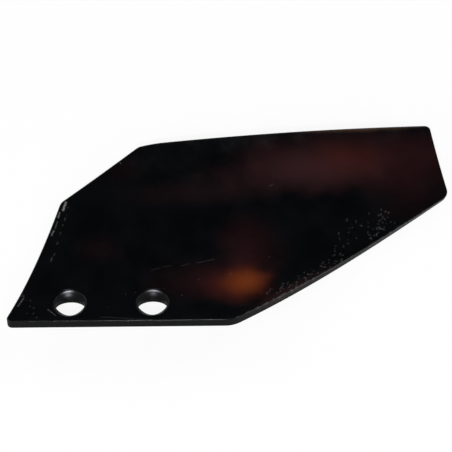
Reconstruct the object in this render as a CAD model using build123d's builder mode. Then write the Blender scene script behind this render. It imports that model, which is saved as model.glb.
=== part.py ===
"""Skimmer mouldboard: one rolled steel plate with two countersunk bolt holes.

It is drawn lying on its convex back, as it comes to rest: the roll axis runs along X, +Z is up
and the bottom edge faces -Y. The origin is on the ground under the middle of the plate.
"""

import math
import os

from build123d import *

# Sheet
thickness = 6.4
roll_radius = 160.0  # of the concave front face
rest_arc = 83.6  # round the sheet from the bottom edge to the line it rests on

# Corners of the flat blank: (along the roll axis, round the sheet from the bottom edge)
heel = (0.0, 0.0)
shin_top = (35.0, 104.0)
shoulder = (96.0, 147.8)
wing_top = (316.5, 160.5)
wing_tip = (330.3, 107.0)
toe = (164.6, 0.0)
heel_radius = 4.0
shin_radius = 8.0
shoulder_radius = 10.0
wing_top_radius = 4.0
wing_tip_radius = 7.0
toe_radius = 20.0

# Bowed top edge: three points of its long arc, which falls off in a tighter one at the shoulder
brow_points = [(117.0, 150.0), (206.4, 156.4), (334.1, 160.8)]
brow_fall_radius = 170.0
brow_fall_angle = 14.0

# Bolt holes: countersunk for a flush head, with an oval neck that keeps the bolt from turning
hole_centres = [(46.0, 17.4), (106.0, 17.4)]
head_diameter = 24.0
head_angle = 90.0
neck_length = 21.5
neck_width = 13.2

# Broken edges
front_edge_radius = 0.8
back_edge_radius = 0.4

# Place over the origin
middle_along = 165.41  # along the blank, from the heel
roll_axis_y = 3.14

margin = 30.0  # how far cutting shapes reach past what they cut


def on_sheet(along, arc):
    """Plane on the front face at a place of the flat blank: x along the roll axis, z out of the face."""
    turn = (arc - rest_arc) / roll_radius
    return Plane(
        origin=(along - middle_along, roll_axis_y + roll_radius * math.sin(turn),
                thickness + roll_radius * (1 - math.cos(turn))),
        x_dir=(1, 0, 0),
        z_dir=(0, -math.sin(turn), math.cos(turn)),
    )


def past_edge(start, end, width):
    """Waste past a straight edge of the blank, rolled up with it so the cut stays square to the sheet."""
    along, arc = end[0] - start[0], end[1] - start[1]
    reach = margin / along
    first = on_sheet(start[0] - reach * along, start[1] - reach * arc)
    first_angle = math.degrees((start[1] - reach * arc - rest_arc) / roll_radius)
    axis_point = (first.origin.X, roll_axis_y, thickness + roll_radius)
    edge_line = Location(axis_point, (180 + first_angle, 0, 0)) * Helix(
        pitch=2 * math.pi * roll_radius * along / abs(arc),
        height=(1 + 2 * reach) * along,
        radius=roll_radius,
        direction=(1, 0, 0),
        lefthand=arc < 0,
    )
    with BuildSketch(Plane(origin=first.origin, x_dir=(1, 0, 0), z_dir=first.y_dir)) as waste:
        with Locations((width / 2, thickness / 2)):
            Rectangle(abs(width), 2 * thickness)
    return sweep(waste.sketch, path=edge_line, is_frenet=True, mode=Mode.PRIVATE)


with BuildPart() as mouldboard:
    # Rolled sheet, bottom edge square to it
    edge_angle = -90 - math.degrees(rest_arc / roll_radius)
    sheet_angle = math.degrees((wing_top[1] + thickness) / roll_radius)
    with BuildSketch(Plane.YZ.offset(-middle_along - margin)):
        with BuildLine():
            roll_centre = (roll_axis_y, thickness + roll_radius)
            front = CenterArc(roll_centre, roll_radius, edge_angle, sheet_angle)
            back = CenterArc(roll_centre, roll_radius + thickness, edge_angle, sheet_angle)
            Line(front @ 0, back @ 0)
            Line(front @ 1, back @ 1)
        make_face()
    extrude(amount=wing_tip[0] + 2 * margin)

    # Straight edges of the blank
    add(past_edge(heel, shin_top, -4 * margin), mode=Mode.SUBTRACT)
    add(past_edge(shin_top, shoulder, -6 * margin), mode=Mode.SUBTRACT)
    add(past_edge(wing_top, wing_tip, 3 * margin), mode=Mode.SUBTRACT)
    add(past_edge(toe, wing_tip, 7 * margin), mode=Mode.SUBTRACT)

    # Bowed top edge
    with BuildSketch(on_sheet(*brow_points[1])):
        with BuildLine():
            left, centre, right = [Vector(point) - Vector(brow_points[1]) for point in brow_points]
            brow = ThreePointArc(left, centre, right)
            fall = JernArc(left, brow % 0 * -1, brow_fall_radius, brow_fall_angle)
            Polyline(right, right + (0, margin), (fall @ 1) + (0, margin), fall @ 1)
        make_face()
    extrude(amount=2 * thickness, both=True, mode=Mode.SUBTRACT)

    # Rounded corners
    for corner, radius in [
        (heel, heel_radius),
        (shin_top, shin_radius),
        (shoulder, shoulder_radius),
        (wing_top, wing_top_radius),
        (wing_tip, wing_tip_radius),
        (toe, toe_radius),
    ]:
        middle = on_sheet(*corner).offset(-thickness / 2).origin
        fillet(mouldboard.edges().sort_by_distance(middle)[0], radius)

    # Arrises; the back one is begun at one corner and runs on round the tangent outline
    front_face = mouldboard.faces().filter_by(lambda face: face.radius == roll_radius)[0]
    fillet(front_face.outer_wire().edges(), front_edge_radius)
    back_face = mouldboard.faces().filter_by(lambda face: face.radius == roll_radius + thickness)[0]
    first_corner = on_sheet(*shin_top).offset(-thickness).origin
    fillet(back_face.outer_wire().edges().sort_by_distance(first_corner)[0], back_edge_radius)

    # Countersinks and oval necks
    cone_height = (head_diameter / 2 + thickness) / math.tan(math.radians(head_angle / 2))
    for centre in hole_centres:
        with Locations(on_sheet(*centre).offset(thickness)):
            Cone(0, head_diameter / 2 + thickness, cone_height,
                 align=(Align.CENTER, Align.CENTER, Align.MAX), mode=Mode.SUBTRACT)
        with BuildSketch(on_sheet(*centre)):
            Ellipse(neck_length / 2, neck_width / 2)
        extrude(amount=-2 * thickness, mode=Mode.SUBTRACT)

os.makedirs("parts", exist_ok=True)
mouldboard.part.label = "mouldboard"
export_step(mouldboard.part, "parts/mouldboard.step")
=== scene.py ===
# %% [markdown]
# A skimmer mouldboard is the small curved plate ahead of a plough body that turns the top of the
# furrow over. It is one piece: flat plate, cut to shape, rolled to a constant radius and enamelled
# black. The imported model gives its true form. This script makes that form again from the same sizes,
# as a smoother mesh with rounder rims, and gives it its finish and its wear.

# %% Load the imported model
import math

import bpy
import numpy as np

from mathutils import Matrix, Vector
from mathutils.geometry import delaunay_2d_cdt


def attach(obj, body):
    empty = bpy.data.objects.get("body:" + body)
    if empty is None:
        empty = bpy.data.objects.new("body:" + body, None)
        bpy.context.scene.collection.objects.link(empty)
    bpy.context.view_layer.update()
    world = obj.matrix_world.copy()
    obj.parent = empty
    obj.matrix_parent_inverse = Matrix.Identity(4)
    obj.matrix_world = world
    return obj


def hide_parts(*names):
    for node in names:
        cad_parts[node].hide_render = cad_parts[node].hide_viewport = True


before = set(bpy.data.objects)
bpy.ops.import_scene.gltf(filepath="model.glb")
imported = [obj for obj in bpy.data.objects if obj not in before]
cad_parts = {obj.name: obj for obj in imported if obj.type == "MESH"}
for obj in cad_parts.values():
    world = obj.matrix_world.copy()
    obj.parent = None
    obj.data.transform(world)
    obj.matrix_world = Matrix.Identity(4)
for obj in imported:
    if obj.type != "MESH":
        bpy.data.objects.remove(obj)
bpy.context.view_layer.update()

# %% [markdown]
# The photograph looks steeply down on the plate from its bottom edge. The place of the camera was
# found by fitting the plate's outline, its edge strip and the two bolt holes to the picture, so it is
# given as a point, the point it looks at on the ground, a small roll and a focal length. A vertical
# or horizontal guess would have been quicker, but the curve of the plate changes shape with it.

# %% Camera
eye = Vector((-0.01337, -0.36021, 0.93278))
looks_at = Vector((-0.00504, 0.00622, 0.0))
roll = math.radians(0.68)
focal_mm = 105.0
sensor_mm = 36.0

camera = bpy.data.objects.new("camera", bpy.data.cameras.new("camera"))
bpy.context.scene.collection.objects.link(camera)
camera.data.lens = focal_mm
camera.data.sensor_width = sensor_mm
turn = (looks_at - eye).to_track_quat("-Z", "Y").to_matrix().to_4x4()
camera.matrix_world = Matrix.Translation(eye) @ turn @ Matrix.Rotation(roll, 4, "Z")
bpy.context.scene.camera = camera
print("camera", round((looks_at - eye).length, 3), "m from the ground point it looks at")

# %% [markdown]
# Every colour below is written as it would be picked from a screen, as an sRGB hex number. Blender
# mixes light in linear values, so one function turns a hex number into linear red, green and blue. A
# second one adds a shader node, sets it and links it in one line, whatever kind of node it is.

# %% Colours and nodes
def linear(hex_colour):
    """Linear red, green, blue and alpha of an sRGB hex colour such as 0x808080."""
    channels = np.array([hex_colour >> 16 & 255, hex_colour >> 8 & 255, hex_colour & 255]) / 255
    turned = np.where(channels <= 0.04045, channels / 12.92, ((channels + 0.055) / 1.055) ** 2.4)
    return (*turned.tolist(), 1.0)


def add_node(tree, kind, inputs=None, out=0, **settings):
    """Adds one node and gives back one of its outputs. Settings are the node's own options; inputs
    are values for its sockets, or outputs of other nodes to link to them."""
    made = tree.nodes.new(kind)
    for name, value in settings.items():
        setattr(made, name, value)
    for name, value in (inputs or {}).items():
        if isinstance(value, bpy.types.NodeSocket):
            tree.links.new(value, made.inputs[name])
        else:
            made.inputs[name].default_value = value
    return made.outputs[out] if made.outputs else None


def new_material(name):
    """An empty node material and its tree."""
    material = bpy.data.materials.new(name)
    material.use_nodes = True
    material.node_tree.nodes.clear()
    return material, material.node_tree


print("mid grey is", round(linear(0x808080)[0], 3), "in linear light")

# %% [markdown]
# The plate lies on a plain white table top, wide enough to run out of every view. Paper or a painted
# board would do the same: a matt surface that scatters light evenly. To the camera, and in reflections,
# part of its white is its own, so that it is as bright as the backdrop of a catalogue picture and
# still keeps the plate's soft shadow.

# %% Floor
floor_half = 6.0
floor_colour = 0xFBFBFB
own_white = 0.9

floor_mesh = bpy.data.meshes.new("floor")
floor_corners = np.array([(-1, -1, 0), (1, -1, 0), (1, 1, 0), (-1, 1, 0)]) * floor_half
floor_mesh.from_pydata(floor_corners.tolist(), [], [(0, 1, 2, 3)])
floor = bpy.data.objects.new("floor", floor_mesh)
bpy.context.scene.collection.objects.link(floor)

matt_white, tree = new_material("matt_white_table")
path = add_node(tree, "ShaderNodeLightPath").node.outputs
seen = add_node(tree, "ShaderNodeMath", {0: path["Is Camera Ray"], 1: path["Is Glossy Ray"]},
                operation="MAXIMUM")
seen = add_node(tree, "ShaderNodeMath", {0: seen, 1: path["Is Transmission Ray"]},
                operation="MAXIMUM")
share = add_node(tree, "ShaderNodeMath", {0: seen, 1: own_white}, operation="MULTIPLY")
paint = add_node(tree, "ShaderNodeBsdfDiffuse", {"Color": linear(floor_colour)})
glow = add_node(tree, "ShaderNodeEmission", {"Strength": 1.0})
both = add_node(tree, "ShaderNodeMixShader", {0: share, 1: paint, 2: glow})
add_node(tree, "ShaderNodeOutputMaterial", {"Surface": both})
floor_mesh.materials.append(matt_white)
print("floor", 2 * floor_half, "m square")

# %% [markdown]
# Black gloss shows its surroundings more than its own colour. In the photograph the face stays dark,
# so the studio is white low down, all round, and dim overhead, as a tent with an open top is.

# %% Studio
scene = bpy.context.scene
scene.view_settings.view_transform = "Standard"

world = bpy.data.worlds.new("studio")
world.use_nodes = True
scene.world = world
tree = world.node_tree
tree.nodes.clear()
overhead_grey = 0.08
wall_top, wall_fade = 0.06, 0.20

direction = add_node(tree, "ShaderNodeTexCoord", out="Generated")
height = add_node(tree, "ShaderNodeSeparateXYZ", {0: direction}, out="Z")
level = add_node(tree, "ShaderNodeMapRange",
                 {"Value": height, "From Min": wall_top, "From Max": wall_fade,
                  "To Min": 1.0, "To Max": overhead_grey}, interpolation_type="SMOOTHSTEP")
sky = add_node(tree, "ShaderNodeBackground", {"Color": (1, 1, 1, 1), "Strength": level})
add_node(tree, "ShaderNodeOutputWorld", {"Surface": sky})
print("studio, white to", overhead_grey, "overhead")

# %% [markdown]
# Four broad lamps stand at the corners, low enough that the hollow face doesn't mirror them into the
# camera, and a small strip above the camera gives the lower arris its spark. Together they light a level
# surface at about 1. A lamp's power is worked out from how bright its face is, so that it can change size.

# %% Lamps
lamps = {  # place, width and height in metres, radiance
    "back_left_softbox": ((-1.10, 0.95, 0.78), (1.0, 0.9), 3.6),
    "back_right_softbox": ((1.10, 0.95, 0.78), (1.0, 0.9), 3.6),
    "front_left_softbox": ((-1.15, -0.85, 0.70), (0.8, 0.7), 3.8),
    "front_right_softbox": ((1.20, -0.75, 0.70), (0.8, 0.7), 3.8),
    "camera_strip": ((-0.11, -0.80, 1.27), (0.30, 0.14), 70.0),
}
for name, (stand, size, radiance) in lamps.items():
    light = bpy.data.lights.new(name, "AREA")
    light.shape = "RECTANGLE"
    light.size, light.size_y = size
    light.energy = radiance * math.pi * size[0] * size[1]
    lamp = bpy.data.objects.new(name, light)
    scene.collection.objects.link(lamp)
    lamp.matrix_world = (Matrix.Translation(stand)
                         @ (-Vector(stand)).to_track_quat("-Z", "Y").to_matrix().to_4x4())
    print(name, round(light.energy, 1), "W")

# %% [markdown]
# The mouldboard began as a flat blank, so its outline is easiest to give on the flat: how far along the
# plate, and how far round the curve, in millimetres. Each corner has its rounding, and the long, gently
# bowed top edge is two very large roundings. The path runs anticlockwise, and each point keeps the
# direction that leads into the plate, which the edge profile needs.

# %% Outline of the flat blank
corners = [  # along, round, rounding
    ("heel", 0.0, 0.0, 4.0),
    ("toe", 164.6, 0.0, 20.0),
    ("wing_tip", 330.3, 107.0, 7.0),
    ("wing_top", 316.5, 160.41, 4.0),
    ("brow", 216.57, 158.5, 2784.0),
    ("brow_fall", 105.42, 148.99, 136.0),
    ("shoulder", 94.08, 146.42, 10.0),
    ("shin_top", 35.0, 104.0, 8.0),
]
outline_step = 2.0
outline_turn = math.radians(6)


def turned_left(v):
    """A flat direction turned a quarter turn to the left."""
    return np.stack([-v[..., 1], v[..., 0]], axis=-1)


def rounded_outline(places, radii):
    """Straight runs joined by arcs. A corner of turn t and radius r starts r tan(t / 2) before it;
    its centre is r to the left, and the arc's points are centre - r * (left turned by 0 to t)."""
    ahead = np.roll(places, -1, axis=0) - places
    ahead /= np.linalg.norm(ahead, axis=1)[:, None]
    before = np.roll(ahead, 1, axis=0)
    turn = np.arctan2(before[:, 0] * ahead[:, 1] - before[:, 1] * ahead[:, 0],
                      (before * ahead).sum(axis=1))
    reach = radii * np.tan(turn / 2)
    starts, ends = places - before * reach[:, None], places + ahead * reach[:, None]
    points, inward = [], []
    for k in range(len(places)):
        count = math.ceil(max(turn[k] / outline_turn, turn[k] * radii[k] / outline_step))
        angle = np.linspace(0, turn[k], count + 1)[:, None]
        left = turned_left(before[k])
        facing = left * np.cos(angle) + turned_left(left) * np.sin(angle)
        points.append(starts[k] + radii[k] * (left - facing))
        inward.append(facing)
        run = starts[(k + 1) % len(places)] - ends[k]
        steps = math.ceil(np.linalg.norm(run) / outline_step)
        share = np.arange(1, steps)[:, None] / steps
        points.append(ends[k] + run * share)
        inward.append(np.repeat(turned_left(ahead[k])[None], len(share), axis=0))
    return np.concatenate(points), np.concatenate(inward)


corner_places = np.array([corner[1:3] for corner in corners])
corner_radii = np.array([corner[3] for corner in corners])
outline, into_plate = rounded_outline(corner_places, corner_radii)
print("outline points", len(outline), "span", np.ptp(outline, axis=0).round(2), "mm")

# %% [markdown]
# Rolling wraps the flat blank round a level axis above it, as a plate roll does in the forge. One
# function carries points from the blank to their place and another carries directions, so everything
# cut in the blank, and the enamel's pattern too, follows the curve.

# %% Rolling the blank
roll_radius = 160.0
thickness = 6.4
rest_arc = 83.6
middle_along = 165.41
roll_axis_y = 3.14


def roll_up(place):
    """Millimetres along, round and deep to a point: the angle is round over radius, and the point
    lies radius + depth from the roll axis."""
    angle = (place[:, 1] - rest_arc) / roll_radius
    reach = roll_radius + place[:, 2]
    return np.column_stack([place[:, 0] - middle_along, roll_axis_y + reach * np.sin(angle),
                            thickness + roll_radius - reach * np.cos(angle)])


def roll_direction(place, way):
    """A direction given as along, round and deep, turned by the same angle as its place."""
    angle = (place[:, 1] - rest_arc) / roll_radius
    return np.column_stack([way[:, 0], way[:, 1] * np.cos(angle) + way[:, 2] * np.sin(angle),
                            way[:, 1] * np.sin(angle) - way[:, 2] * np.cos(angle)])


print("middle of the heel edge", roll_up(np.array([[0.0, 0.0, 0.0]])).round(2), "mm")

# %% [markdown]
# The plate's edge is a small profile carried round the outline: a rounded arris at the front, a straight
# wall, and a tighter arris at the back. Each point of the profile is an inset from the outline and a
# depth, with the direction that the surface faces there. The enamel pools over the arris, so it is
# a true rounding and not a shading trick, and it catches the thin line of light that outlines the plate.
# On the wall below it the coat is thin, which the last row of numbers says.

# %% Edge profile
front_arris, back_arris = 0.8, 0.4
arris_steps = 6
thin_from = 1.2

quarter = np.linspace(0, math.pi / 2, arris_steps + 1)
wall = np.array([thin_from, (thin_from + thickness) / 2])
inset = np.concatenate([front_arris * (1 - np.sin(quarter)), 0 * wall,
                        back_arris * (1 - np.cos(quarter))])
depth = np.concatenate([front_arris * (1 - np.cos(quarter)), wall,
                        thickness - back_arris * (1 - np.sin(quarter))])
outward = np.concatenate([np.sin(quarter), 1 + 0 * wall, np.cos(quarter)])
backward = np.concatenate([-np.cos(quarter), 0 * wall, np.sin(quarter)])
across_arris = np.concatenate([np.sin(2 * quarter), 0 * wall, 0 * quarter])
edge_thin = np.concatenate([0 * quarter, 1 + 0 * wall, np.cos(quarter)])


def edge_rings():
    """Profile times outline: place = outline + inset * inward, and the surface faces
    outward * -inward + backward * depth."""
    flat = outline[None] + inset[:, None, None] * into_plate[None]
    deep = np.broadcast_to(depth[:, None, None], (*flat.shape[:2], 1))
    facing = np.broadcast_to(backward[:, None, None], deep.shape)
    return (np.concatenate([flat, deep], axis=2),
            np.concatenate([-outward[:, None, None] * into_plate[None], facing], axis=2))


edge_place, edge_facing = edge_rings()
print("edge profile", len(inset), "points round", len(outline), "places")

# %% [markdown]
# Two countersunk holes take plough bolts, whose oval necks stop them from turning. Each hole is again a
# profile carried round: over the rim, down the 45 degree cone, over the lip and down the oval neck.
# It is worked out about the hole's own straight axis and then laid on the curved sheet, so the
# cone cuts a little deeper at its upper and lower sides, as a real countersink does in a rolled plate.
# The tool left the cone a trace hollow, steeper at the rim than at the lip. The coat is thin here too.

# %% Bolt holes
hole_centres = np.array([(46.0, 17.4), (106.0, 17.4)])
head_radius = 12.0
neck_half = (10.75, 6.6)
rim_rounding, lip_rounding, back_rounding = 0.9, 0.25, 0.3
steep_dip, flat_dip = 50, 40
cone_hollow = 0.12
round_steps, cone_steps, neck_steps = 6, 8, 4
hole_points = 128


def bend(start, end, steps):
    """Angles of a rounding, from one slope to the other, in degrees below level."""
    return np.radians(np.linspace(start, end, steps + 1))


def hole_profile(around):
    """Radius, height and slope of the wall, for each step of the profile (rows) and each angle round
    the hole's axis (columns). The rim lies where the cone meets the sheet, and the neck's radius is
    that of an ellipse, a b / sqrt((b cos)^2 + (a sin)^2)."""
    a, b = neck_half
    sin = np.sin(around)
    neck = a * b / np.hypot(b * np.cos(around), a * sin)
    rim = np.full(hole_points, head_radius)
    for _ in range(4):
        rim = head_radius + roll_radius - np.sqrt(roll_radius**2 - (rim * sin) ** 2)
    level, slope = bend(0, steep_dip, round_steps), bend(flat_dip, 90, round_steps)
    back = bend(90, 180, round_steps)
    half_turn = math.tan(math.pi / 8)
    rim_r = rim + rim_rounding * (half_turn - np.sin(level)[:, None])
    rim_z = rim - head_radius - rim_rounding * (1 - np.cos(level))[:, None]
    lip_r = neck + lip_rounding * (1 - np.sin(slope))[:, None]
    lip_z = neck - head_radius + lip_rounding * (np.cos(slope)[:, None] - half_turn)
    share = (np.arange(1, cone_steps) / cone_steps)[:, None]
    hollow = cone_hollow * 4 * share * (1 - share) * math.sqrt(0.5)
    cone_r = rim_r[-1] + (lip_r[0] - rim_r[-1]) * share + hollow
    cone_z = rim_z[-1] + (lip_z[0] - rim_z[-1]) * share - hollow
    end_r = neck + back_rounding * (1 - np.sin(back))[:, None]
    end_z = roll_radius - np.sqrt((roll_radius + thickness) ** 2 - (end_r * sin) ** 2)
    end_z += back_rounding * (1 + np.cos(back))[:, None]
    share = (np.arange(1, neck_steps) / neck_steps)[:, None]
    neck_z = lip_z[-1] + (end_z[0] - lip_z[-1]) * share
    dip = [level, bend(steep_dip, flat_dip, cone_steps)[1:-1], slope,
           np.full(neck_steps - 1, math.pi / 2), back]
    return (np.concatenate([rim_r, cone_r, lip_r, neck + 0 * share, end_r]),
            np.concatenate([rim_z, cone_z, lip_z, neck_z, end_z]), np.concatenate(dip))


def hole_rings(centre):
    """The wall laid on the sheet. A point at (x, y, height) about the hole's axis lies at the angle
    atan(y / (radius - height)) round the roll and as deep as its distance from the roll axis says;
    it faces the hole's axis on the cone and square to the ellipse in the neck."""
    around = np.linspace(0, 2 * math.pi, hole_points, endpoint=False)
    radius, height, dip = hole_profile(around)
    cos, sin = np.cos(around), np.sin(around)
    x, y, to_axis = radius * cos, radius * sin, roll_radius - height
    turn = np.arctan2(y, to_axis)
    place = np.stack([centre[0] + x, centre[1] + roll_radius * turn,
                      np.hypot(y, to_axis) - roll_radius], axis=2)
    a, b = neck_half
    neck_way = -np.stack([b * cos / a, a * sin / b], axis=1)
    neck_way /= np.linalg.norm(neck_way, axis=1)[:, None]
    oval = np.clip(2 * dip / (math.pi / 2) - 1, 0, 1)[:, None, None]
    inward = -np.stack([cos, sin], axis=1) * (1 - oval) + neck_way * oval
    inward *= np.sin(dip)[:, None, None] / np.linalg.norm(inward, axis=2)[:, :, None]
    up = np.cos(dip)[:, None]
    facing = np.stack([inward[:, :, 0], inward[:, :, 1] * np.cos(turn) + up * np.sin(turn),
                       inward[:, :, 1] * np.sin(turn) - up * np.cos(turn)], axis=2)
    return place, facing


holes = [hole_rings(centre) for centre in hole_centres]
ring = np.arange(len(holes[0][0]))
hole_thin = np.clip(np.minimum(ring, ring[::-1]) / round_steps, 0, 1)
print("hole profile", len(ring), "points round", hole_points, "places")

# %% [markdown]
# The upper side of each countersink gets a painted highlight in its colour: a bright crescent just inside
# the rim, and a fainter patch below it. Both are bell curves of the distance down the wall and of the angle
# round it, so they stay with the hole however the plate is turned.

# %% Painted countersink highlights
countersink_highlights = [  # middle and spread round in degrees, middle and spread down in mm, how bright the painted highlight is; for each hole
    [(101.0, 14.0, 0.9, 0.55, 1.0), (101.0, 12.0, 3.2, 1.2, 0.30)],
    [(87.0, 17.0, 0.9, 0.50, 0.75), (88.0, 11.0, 3.0, 1.1, 0.17)],
]


def painted_highlight(place, spots):
    """Sum of bell curves, exp(-(round / spread)^2 - (down / spread)^2), over the hole's wall."""
    rolled = roll_up(place.reshape(-1, 3)).reshape(place.shape)
    steps = np.linalg.norm(np.diff(rolled, axis=0), axis=2)
    down = np.concatenate([np.zeros((1, hole_points)), np.cumsum(steps, axis=0)])
    around = np.linspace(0, 360, hole_points, endpoint=False)
    return sum(lit_share * np.exp(-((around - angle) / turn) ** 2 - ((down - deep) / spread) ** 2)
               for angle, turn, deep, spread, lit_share in spots)


print("brightest_highlight", [round(float(painted_highlight(h[0], r).max()), 2) for h, r in zip(holes, countersink_highlights)])

# %% [markdown]
# The plate has travelled, and its gloss is nicked and scuffed. A mark is a short stroke on the blank,
# with a half width and the share of the coat that it has taken. A few stand out singly, and their places
# follow the photograph, to the half millimetre: four worn strips by the upper left corner, four dashes
# in a line across the face, a scrape along the bottom edge, two marks by a bolt hole, a scratch at the
# heel and two nicks.

# %% Single marks
single_marks = [  # along and round at both ends, half width, share of the coat taken
    (39.0, 104.0, 37.0, 98.0, 1.0, 0.42),
    (34.5, 96.0, 33.5, 92.0, 0.65, 0.30),
    (33.0, 89.0, 31.5, 83.5, 0.55, 0.14),
    (30.5, 81.5, 29.0, 78.0, 0.75, 0.22),
    (12.0, 23.5, 8.5, 15.5, 0.6, 0.14),
    (104.0, 47.5, 111.0, 49.5, 0.35, 0.04),
    (113.0, 50.5, 119.5, 51.5, 0.3, 0.04),
    (126.0, 51.0, 133.0, 53.0, 0.3, 0.04),
    (138.0, 53.5, 151.0, 56.5, 0.4, 0.05),
    (69.0, 4.0, 105.0, 0.5, 0.3, 0.06),
    (39.0, 21.5, 35.5, 13.5, 0.6, 0.20),
    (30.5, 12.0, 36.5, 6.0, 0.45, 0.12),
    (78.5, 137.0, 80.5, 134.0, 0.6, 0.08),
    (194.0, 115.5, 196.5, 117.0, 0.5, 0.06),
]
print(len(single_marks), "single marks")

# %% [markdown]
# The rest lie in bands, where the plate has rubbed on others: two along the lower right edge and a
# thick one beside them, two clusters before the wing tip, a row behind the slanting edge, a few at the
# heel and a few specks over the lower face. A band is a line, and its marks are scattered along and
# across it. The seed fixes them.

# %% Bands of scuffs
scuff_seed = 8
scuff_bands = [  # start, end, marks, spread across, longest, most off the line's way in degrees, share
    ((166.0, 1.6), (232.0, 44.2), 15, 0.15, 7.0, 4, 0.15),
    ((264.0, 64.8), (314.0, 97.0), 9, 0.25, 6.0, 4, 0.11),
    ((189.5, 22.5), (248.0, 59.0), 46, 2.2, 3.0, 50, 0.10),
    ((267.0, 74.0), (285.0, 93.0), 30, 4.6, 4.5, 90, 0.11),
    ((243.0, 60.0), (259.0, 88.0), 16, 3.2, 1.8, 60, 0.08),
    ((29.5, 56.0), (41.5, 102.0), 9, 0.4, 6.0, 6, 0.09),
    ((10.0, 30.0), (24.0, 3.0), 9, 2.6, 1.6, 60, 0.09),
    ((60.0, 22.0), (200.0, 46.0), 9, 6.0, 0.8, 90, 0.06),
]
half_width_range = (0.35, 0.75)
least_share = 0.5


def scatter(draw, start, end, count, spread, longest, turn, share):
    """Marks along a line: one in each of count equal stretches, off the line by a bell curve. Lengths
    lean to the short, as longest * u^2, and directions are the line's, turned by up to turn."""
    start, run = np.array(start), np.subtract(end, start)
    ahead = run / np.linalg.norm(run)
    along = (np.arange(count) + draw.random(count)) / count
    middle = start + along[:, None] * run
    middle = middle + draw.normal(0, spread, count)[:, None] * turned_left(ahead)
    angle = np.radians(turn) * draw.uniform(-1, 1, count)[:, None]
    way = ahead * np.cos(angle) + turned_left(ahead) * np.sin(angle)
    half = way * (longest / 2 * draw.random(count) ** 2 + 0.05)[:, None]
    return np.column_stack([middle - half, middle + half, draw.uniform(*half_width_range, count),
                            share * draw.uniform(least_share, 1, count)])


draw = np.random.default_rng(scuff_seed)
marks = np.concatenate([single_marks] + [
    scatter(draw, start, end, count, spread, longest, turn, share)
    for start, end, count, spread, longest, turn, share in scuff_bands])
print(len(marks), "marks in all")

# %% [markdown]
# A mark is only a millimetre or so across, so the mesh gets a fine grid of points under each, and how
# scuffed a point is stays on it as a value for the material. The marks could be painted in a
# texture, but a value on the mesh stays sharp and needs no image.

# %% Points under the marks
mark_grid = 0.4
mark_margin = 0.6


def gaps(points, strokes):
    """Distance of each point from each stroke. The nearest point of a stroke is at the share
    (point - start) . run / run . run of its run, kept between 0 and 1."""
    start, run = strokes[:, :2], strokes[:, 2:4] - strokes[:, :2]
    off = points[:, None] - start[None]
    share = np.clip((off * run).sum(axis=2) / np.maximum((run**2).sum(axis=1), 1e-9), 0, 1)
    return np.linalg.norm(off - share[:, :, None] * run, axis=2)


def scuffed(points):
    """A mark's share times a soft-edged profile across it, 1 in its middle and 0 outside."""
    depth = np.clip(1.25 - gaps(points, marks) / marks[:, 4], 0, 1)
    return (marks[:, 5] * depth**2 * (3 - 2 * depth)).max(axis=1)


def fine_points():
    """Points of one fine lattice that lie under a mark."""
    found = []
    for mark in marks:
        reach = mark[4] + mark_margin
        low = np.floor((np.minimum(mark[:2], mark[2:4]) - reach) / mark_grid)
        high = np.ceil((np.maximum(mark[:2], mark[2:4]) + reach) / mark_grid)
        steps = [np.arange(a, b + 1) for a, b in zip(low, high)]
        lattice = np.stack(np.meshgrid(*steps), axis=-1).reshape(-1, 2)
        near = gaps(lattice * mark_grid, mark[None])[:, 0] < reach
        found.append(lattice[near])
    return np.unique(np.concatenate(found), axis=0) * mark_grid


mark_points = fine_points()
print(len(mark_points), "fine points")

# %% [markdown]
# What is left are the two broad faces. They are smooth sheets with an odd outline and two holes, so
# a plain grid of points fills them, kept a little clear of the outline and of the holes.

# %% Filling a face
front_grid, back_grid = 2.0, 3.0


def fill_points(spacing, edge_ring, hole_ring_sets, with_marks):
    """A grid of points no nearer than about half its spacing to the outline or to a hole's ring."""
    low, high = edge_ring.min(axis=0), edge_ring.max(axis=0)
    across, up = (np.arange(a + spacing / 2, b, spacing) for a, b in zip(low, high))
    grid = np.stack(np.meshgrid(across, up), axis=-1).reshape(-1, 2)
    size = np.full(len(grid), spacing)
    if with_marks:
        grid = grid[(gaps(grid, marks) - marks[:, 4]).min(axis=1) > mark_margin + mark_grid]
        size = np.repeat([spacing, mark_grid], [len(grid), len(mark_points)])
        grid = np.concatenate([grid, mark_points])
    run = np.roll(edge_ring, -1, axis=0) - edge_ring
    left = turned_left(run / np.linalg.norm(run, axis=1)[:, None])
    inside = (grid @ left.T - (edge_ring * left).sum(axis=1)).min(axis=1)
    grid, size = grid[inside > 0.6 * size], size[inside > 0.6 * size]
    for ring in hole_ring_sets:
        middle, half = ring.mean(axis=0), np.ptp(ring, axis=0) / 2
        gap = np.linalg.norm(grid[:, None] - ring[None], axis=2).min(axis=1)
        kept = (gap > 0.6 * size) & (np.linalg.norm((grid - middle) / half, axis=1) > 1)
        grid, size = grid[kept], size[kept]
    return grid


print("grids of", front_grid, "and", back_grid, "mm")

# %% [markdown]
# A Delaunay triangulation joins that grid to the rings of points that the edge and the holes end in.
# Sharing those points leaves no seam to close, where two meshes laid together would show one.

# %% Joining a face
merge_distance, least_area = 1e-5, 1e-4


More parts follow.
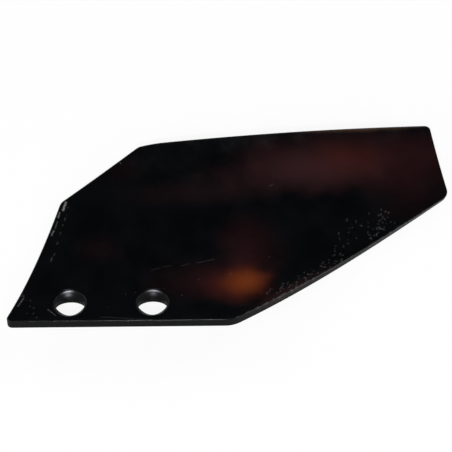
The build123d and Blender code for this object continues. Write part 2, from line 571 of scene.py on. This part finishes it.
def join_face(flat, numbers, loops):
    """Triangles between the points, as their numbers, with none inside a hole. A hole's triangles are
    those whose three corners are all on its ring."""
    ties = [tie for loop in loops for tie in zip(loop, np.roll(loop, -1).tolist())]
    kept = delaunay_2d_cdt([Vector(point) for point in flat.tolist()], ties, [], 0, merge_distance)
    source = np.array([origins[0] for origins in kept[3]])
    triangles = source[np.array(kept[2])]
    p, q, r = (flat[triangles[:, k]] for k in range(3))
    area = (q - p)[:, 0] * (r - p)[:, 1] - (q - p)[:, 1] * (r - p)[:, 0]
    triangles = np.where((area < 0)[:, None], triangles[:, ::-1], triangles)[np.abs(area) > least_area]
    for loop in loops[1:]:
        triangles = triangles[~np.isin(triangles, loop).all(axis=1)]
    return numbers[triangles]


print("points nearer than", merge_distance, "mm are one")

# %% [markdown]
# The plate is gathered block by block: its edge, its holes and then its two faces. Every block hands over
# its points, their directions and three shares that the enamel reads: how far a point lies on the front
# arris, how much painted highlight it carries, and how thin its coat is.

# %% Blocks of points
places, facings, shares = [], [], []


def add_points(place, facing, on_arris=0.0, lit_share=0.0, thin=0.0):
    """Keeps a block of points and gives back their numbers, in the block's own shape."""
    first = sum(len(block) for block in places)
    places.append(place.reshape(-1, 3))
    facings.append(facing.reshape(-1, 3))
    shares.append(np.stack([np.broadcast_to(share, place.shape[:-1]).reshape(-1)
                            for share in (on_arris, lit_share, thin)]))
    return first + np.arange(place[..., 0].size).reshape(place.shape[:-1])


def ring_quads(numbers, outwards=True):
    """Four-sided faces between neighbouring rings, each ring closed on itself."""
    here, beyond = numbers, np.roll(numbers, -1, axis=1)
    sides = (here[:-1], here[1:], beyond[1:], beyond[:-1])
    return np.stack(sides if outwards else sides[::-1], axis=-1).reshape(-1, 4)


edge_numbers = add_points(edge_place, edge_facing, on_arris=across_arris[:, None],
                          thin=edge_thin[:, None])
quads = [ring_quads(edge_numbers)]
hole_numbers = []
for (place, facing), spots in zip(holes, countersink_highlights):
    # The countersinks' painted highlight is stored on the hole's points.
    hole_numbers.append(add_points(place, facing, lit_share=painted_highlight(place, spots),
                                   thin=hole_thin[:, None]))
    quads.append(ring_quads(hole_numbers[-1], outwards=False))
print("edge and holes:", sum(len(block) for block in quads), "faces")

# %% [markdown]
# The front face gets a finer grid than the back, and the fine points under its marks.

# %% Front and back

triangles = []
for ring, deep, spacing, way in ((0, 0.0, front_grid, -1.0), (-1, thickness, back_grid, 1.0)):
    rings = [edge_place[ring]] + [place[ring] for place, _ in holes]
    fill = fill_points(spacing, rings[0][:, :2], [r[:, :2] for r in rings[1:]], deep == 0)
    fill = np.column_stack([fill, np.full(len(fill), deep)])
    straight = np.tile((0.0, 0.0, way), (len(fill), 1))
    fill_numbers = add_points(fill, straight)
    numbers = np.concatenate([edge_numbers[ring]] + [n[ring] for n in hole_numbers]
                             + [fill_numbers])
    flat = np.concatenate([r[:, :2] for r in rings] + [fill[:, :2]])
    ends = np.cumsum([0] + [len(r) for r in rings])
    loops = [list(range(a, b)) for a, b in zip(ends, ends[1:])]
    found = join_face(flat, numbers, loops)
    triangles.append(found if way < 0 else found[:, ::-1])
    print("face at depth", deep, ":", len(found), "triangles")

# %% [markdown]
# All blocks now become one mesh. Its normals are set from the same formulas as its points, because
# a gloss surface shows every small error in them as a ripple. Five values stay on each point for the
# enamel: its place on the flat blank in millimetres, the three shares, and how scuffed it is.

# %% Mouldboard plate
place = np.concatenate(places)
facing = np.concatenate(facings)
faces = [face for block in quads + triangles for face in block.tolist()]
plate_mesh = bpy.data.meshes.new("mouldboard_plate")
plate_mesh.from_pydata((roll_up(place) / 1000).tolist(), [], faces)
scuff = np.where(place[:, 2] < thickness / 2, scuffed(place[:, :2]), 0)
on_arris, lit_share, thin = np.concatenate(shares, axis=1)
for name, kind, field, values in (("blank_place", "FLOAT_VECTOR", "vector", place),
                                  ("arris", "FLOAT", "value", on_arris),
                                  ("painted_highlight", "FLOAT", "value", lit_share),
                                  ("thin_coat", "FLOAT", "value", thin),
                                  ("scuff", "FLOAT", "value", scuff)):
    kept = plate_mesh.attributes.new(name, kind, "POINT")
    kept.data.foreach_set(field, np.ascontiguousarray(values, dtype=np.float32).ravel())
plate_mesh.shade_smooth()
normals = roll_direction(place, facing)
normals /= np.linalg.norm(normals, axis=1)[:, None]
plate_mesh.normals_split_custom_set_from_vertices(normals.tolist())
plate_mesh.validate()
plate = bpy.data.objects.new("mouldboard_plate", plate_mesh)
scene.collection.objects.link(plate)
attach(plate, "root")
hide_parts("mouldboard")

uses = np.zeros(len(plate_mesh.edges), dtype=int)
loop_edges = np.zeros(len(plate_mesh.loops), dtype=np.int32)
plate_mesh.loops.foreach_get("edge_index", loop_edges)
np.add.at(uses, loop_edges, 1)
print("plate", len(place), "points,", len(faces), "faces,", (uses != 2).sum(), "open edges")

# %% [markdown]
# The finish is stoved black enamel over rolled plate: nearly black with a cold cast, faintly mottled.
# Over the black lie brown clouds, painted reflections of warm light: a long one over the upper right, one
# clear patch low in the middle, a line along the top edge and faint ones elsewhere. Each cloud is an oval
# that fades outwards, and a slow noise pushes its rim in and out, so that it has no drawn edge. The ovals
# are laid out on the flat blank in millimetres, and fade through the plate too, so the back stays black.

# %% Enamel: painted reflections in brown
enamel, tree = new_material("black_stoved_enamel")
on_blank = add_node(tree, "ShaderNodeAttribute", out="Vector", attribute_name="blank_place")

cold_black = linear(0x030406)
cold_grey = linear(0x08090B)
dark_brown = linear(0x321618)
muted_brown = linear(0x3C2426)
reflection_warm_brown = linear(0x481C0E)
reflection_bright_brown = linear(0x6A3014)
edge_reflection_brown = linear(0x4A382C)

mottle_mm, rag_mm, rag_depth = 24.0, 22.0, 0.2
cloud_depth = 6.0
# Each cloud below is a painted reflection of warm light, put into the base colour.
painted_reflection_clouds = [  # middle and half size in mm, tilt in degrees, brown, share in the middle
    ((252, 135), (122, 32), 2.0, dark_brown, 0.52),
    ((222, 128), (75, 24), 4.0, muted_brown, 0.45),
    ((254, 137), (40, 20), 3.0, reflection_warm_brown, 0.26),
    ((302, 122), (46, 46), 0.0, dark_brown, 0.22),
    ((145, 112), (80, 16), 2.0, muted_brown, 0.14),
    ((84, 129), (24, 16), 0.0, dark_brown, 0.08),
    ((66, 66), (24, 16), 0.0, dark_brown, 0.12),
    ((177, 66), (32, 38), 0.0, dark_brown, 0.36),
    ((142, 38), (56, 26), 4.0, dark_brown, 0.22),
    ((166, 37), (42, 28), 4.0, dark_brown, 0.60),
    ((170, 34), (34, 22), 4.0, reflection_warm_brown, 0.55),
    ((175, 37), (22, 16), 4.0, reflection_bright_brown, 0.88),
    ((204, 27), (46, 7), 32.9, muted_brown, 0.30),
    ((250, 160), (85, 5), 1.0, edge_reflection_brown, 0.90),
]

mottle = add_node(tree, "ShaderNodeTexNoise", {"Vector": on_blank, "Scale": 1 / mottle_mm,
                                               "Detail": 3.0, "Roughness": 0.55}, out="Fac")
mottle = add_node(tree, "ShaderNodeMapRange", {"Value": mottle, "From Min": 0.35, "From Max": 0.7})
rag = add_node(tree, "ShaderNodeTexNoise", {"Vector": on_blank, "Scale": 1 / rag_mm,
                                            "Detail": 3.0, "Roughness": 0.5}, out="Fac")
rag = add_node(tree, "ShaderNodeMapRange", {"Value": rag, "From Min": 0.25, "From Max": 0.75,
                                            "To Min": -rag_depth, "To Max": rag_depth})
colour = add_node(tree, "ShaderNodeMix", {0: mottle, 6: cold_black, 7: cold_grey}, out=2,
                  data_type="RGBA")
# The painted warm reflections are mixed into the colour one cloud at a time.
for middle, half_size, tilt, brown, share in painted_reflection_clouds:
    laid = add_node(tree, "ShaderNodeMapping",
                    {"Vector": on_blank, "Location": (*middle, 0.0),
                     "Scale": (*half_size, cloud_depth),
                     "Rotation": (0.0, 0.0, math.radians(tilt))}, vector_type="TEXTURE")
    away = add_node(tree, "ShaderNodeVectorMath", {0: laid}, out="Value", operation="LENGTH")
    ragged = add_node(tree, "ShaderNodeMath", {0: rag, 1: away, 2: away},
                      operation="MULTIPLY_ADD")
    cover = add_node(tree, "ShaderNodeMapRange", {"Value": ragged, "From Min": 1.0,
                                                  "From Max": 0.0, "To Max": share},
                     interpolation_type="SMOOTHSTEP")
    colour = add_node(tree, "ShaderNodeMix", {0: cover, 6: colour, 7: brown}, out=2,
                      data_type="RGBA")
print(len(painted_reflection_clouds), "clouds,", len(tree.nodes), "nodes")

# %% [markdown]
# Wear comes next, with the countersinks' painted highlights. Handling has thinned the coat on the front
# arris, down to burnished steel in places, the countersinks get a painted bluish-white highlight, and the
# scuffs have left a pale, dry graze. A fine noise breaks up the first and the last, because a knock takes
# off flecks and not a smooth film.

# %% Enamel: wear and painted highlights
worn_steel = linear(0x8C8A88)
graze_grey = linear(0xB4B0AC)
# The bluish white below is the colour of the painted highlights in the countersinks.
highlight_white = linear(0xDADDE8)
fleck_mm, worn_patch_mm = 1.6, 26.0
arris_bare, arris_dulled = 0.2, 0.04
graze_least = 0.5

arris, scuff, highlight, thin_coat = (add_node(tree, "ShaderNodeAttribute", out="Fac", attribute_name=name)
                                for name in ("arris", "scuff", "painted_highlight", "thin_coat"))
flecks = add_node(tree, "ShaderNodeTexNoise", {"Vector": on_blank, "Scale": 1 / fleck_mm,
                                               "Detail": 2.0, "Roughness": 0.7}, out="Fac")
flecks = add_node(tree, "ShaderNodeMapRange", {"Value": flecks, "From Min": 0.4, "From Max": 0.62})
patches = add_node(tree, "ShaderNodeTexNoise", {"Vector": on_blank, "Scale": 1 / worn_patch_mm,
                                                "Detail": 2.0}, out="Fac")
patches = add_node(tree, "ShaderNodeMapRange", {"Value": patches, "From Min": 0.42,
                                                "From Max": 0.62})
bared = add_node(tree, "ShaderNodeMath", {0: flecks, 1: patches}, operation="MULTIPLY")
bared = add_node(tree, "ShaderNodeMath", {0: bared, 1: arris_bare, 2: arris_dulled},
                 operation="MULTIPLY_ADD")
bared = add_node(tree, "ShaderNodeMath", {0: bared, 1: arris}, operation="MULTIPLY")
broken = add_node(tree, "ShaderNodeMapRange", {"Value": flecks, "To Min": graze_least})
graze = add_node(tree, "ShaderNodeMath", {0: scuff, 1: broken}, operation="MULTIPLY")
for cover, worn_or_lit_colour in ((bared, worn_steel), (graze, graze_grey), (highlight, highlight_white)):
    colour = add_node(tree, "ShaderNodeMix", {0: cover, 6: colour, 7: worn_or_lit_colour}, out=2,
                      data_type="RGBA")
print("with wear", len(tree.nodes), "nodes")

# %% [markdown]
# The gloss is what makes it enamel. The coat flowed out smooth, with a faint orange peel about a
# millimetre and a half across and a slow waviness from the rolling, both far too shallow to model.
# Its shine is weaker than fresh enamel's, as it is on a plate that has dulled in a yard. On the cut
# edges and inside the holes the thin coat follows a rougher surface, so they scatter what they mirror.

# %% Enamel: gloss
gloss_roughness, dulled_roughness = 0.11, 0.2
thin_roughness, graze_roughness = 0.55, 0.6
enamel_ior = 1.22

waves = []
for size_mm, detail in ((1.5, 2.0), (35.0, 1.0), (14.0, 4.0)):
    waves.append(add_node(tree, "ShaderNodeTexNoise", {"Vector": on_blank, "Scale": 1 / size_mm,
                                                       "Detail": detail}, out="Fac"))
peel = add_node(tree, "ShaderNodeBump", {"Height": waves[0], "Strength": 0.04,
                                         "Distance": 0.0003})
wavy = add_node(tree, "ShaderNodeBump", {"Height": waves[1], "Strength": 0.15,
                                         "Distance": 0.001, "Normal": peel})
rough = add_node(tree, "ShaderNodeMapRange", {"Value": waves[2], "From Min": 0.45,
                                              "From Max": 0.75, "To Min": gloss_roughness,
                                              "To Max": dulled_roughness})
grazed = add_node(tree, "ShaderNodeMapRange", {"Value": graze, "From Max": 0.15})
for cover, dull in ((thin_coat, thin_roughness), (grazed, graze_roughness)):
    rough = add_node(tree, "ShaderNodeMix", {0: cover, 2: rough, 3: dull}, data_type="FLOAT")
finish = add_node(tree, "ShaderNodeBsdfPrincipled", {"Base Color": colour, "Roughness": rough,
                                                     "Normal": wavy, "IOR": enamel_ior})
add_node(tree, "ShaderNodeOutputMaterial", {"Surface": finish})
plate_mesh.materials.append(enamel)
print("enamel", len(tree.nodes), "nodes")
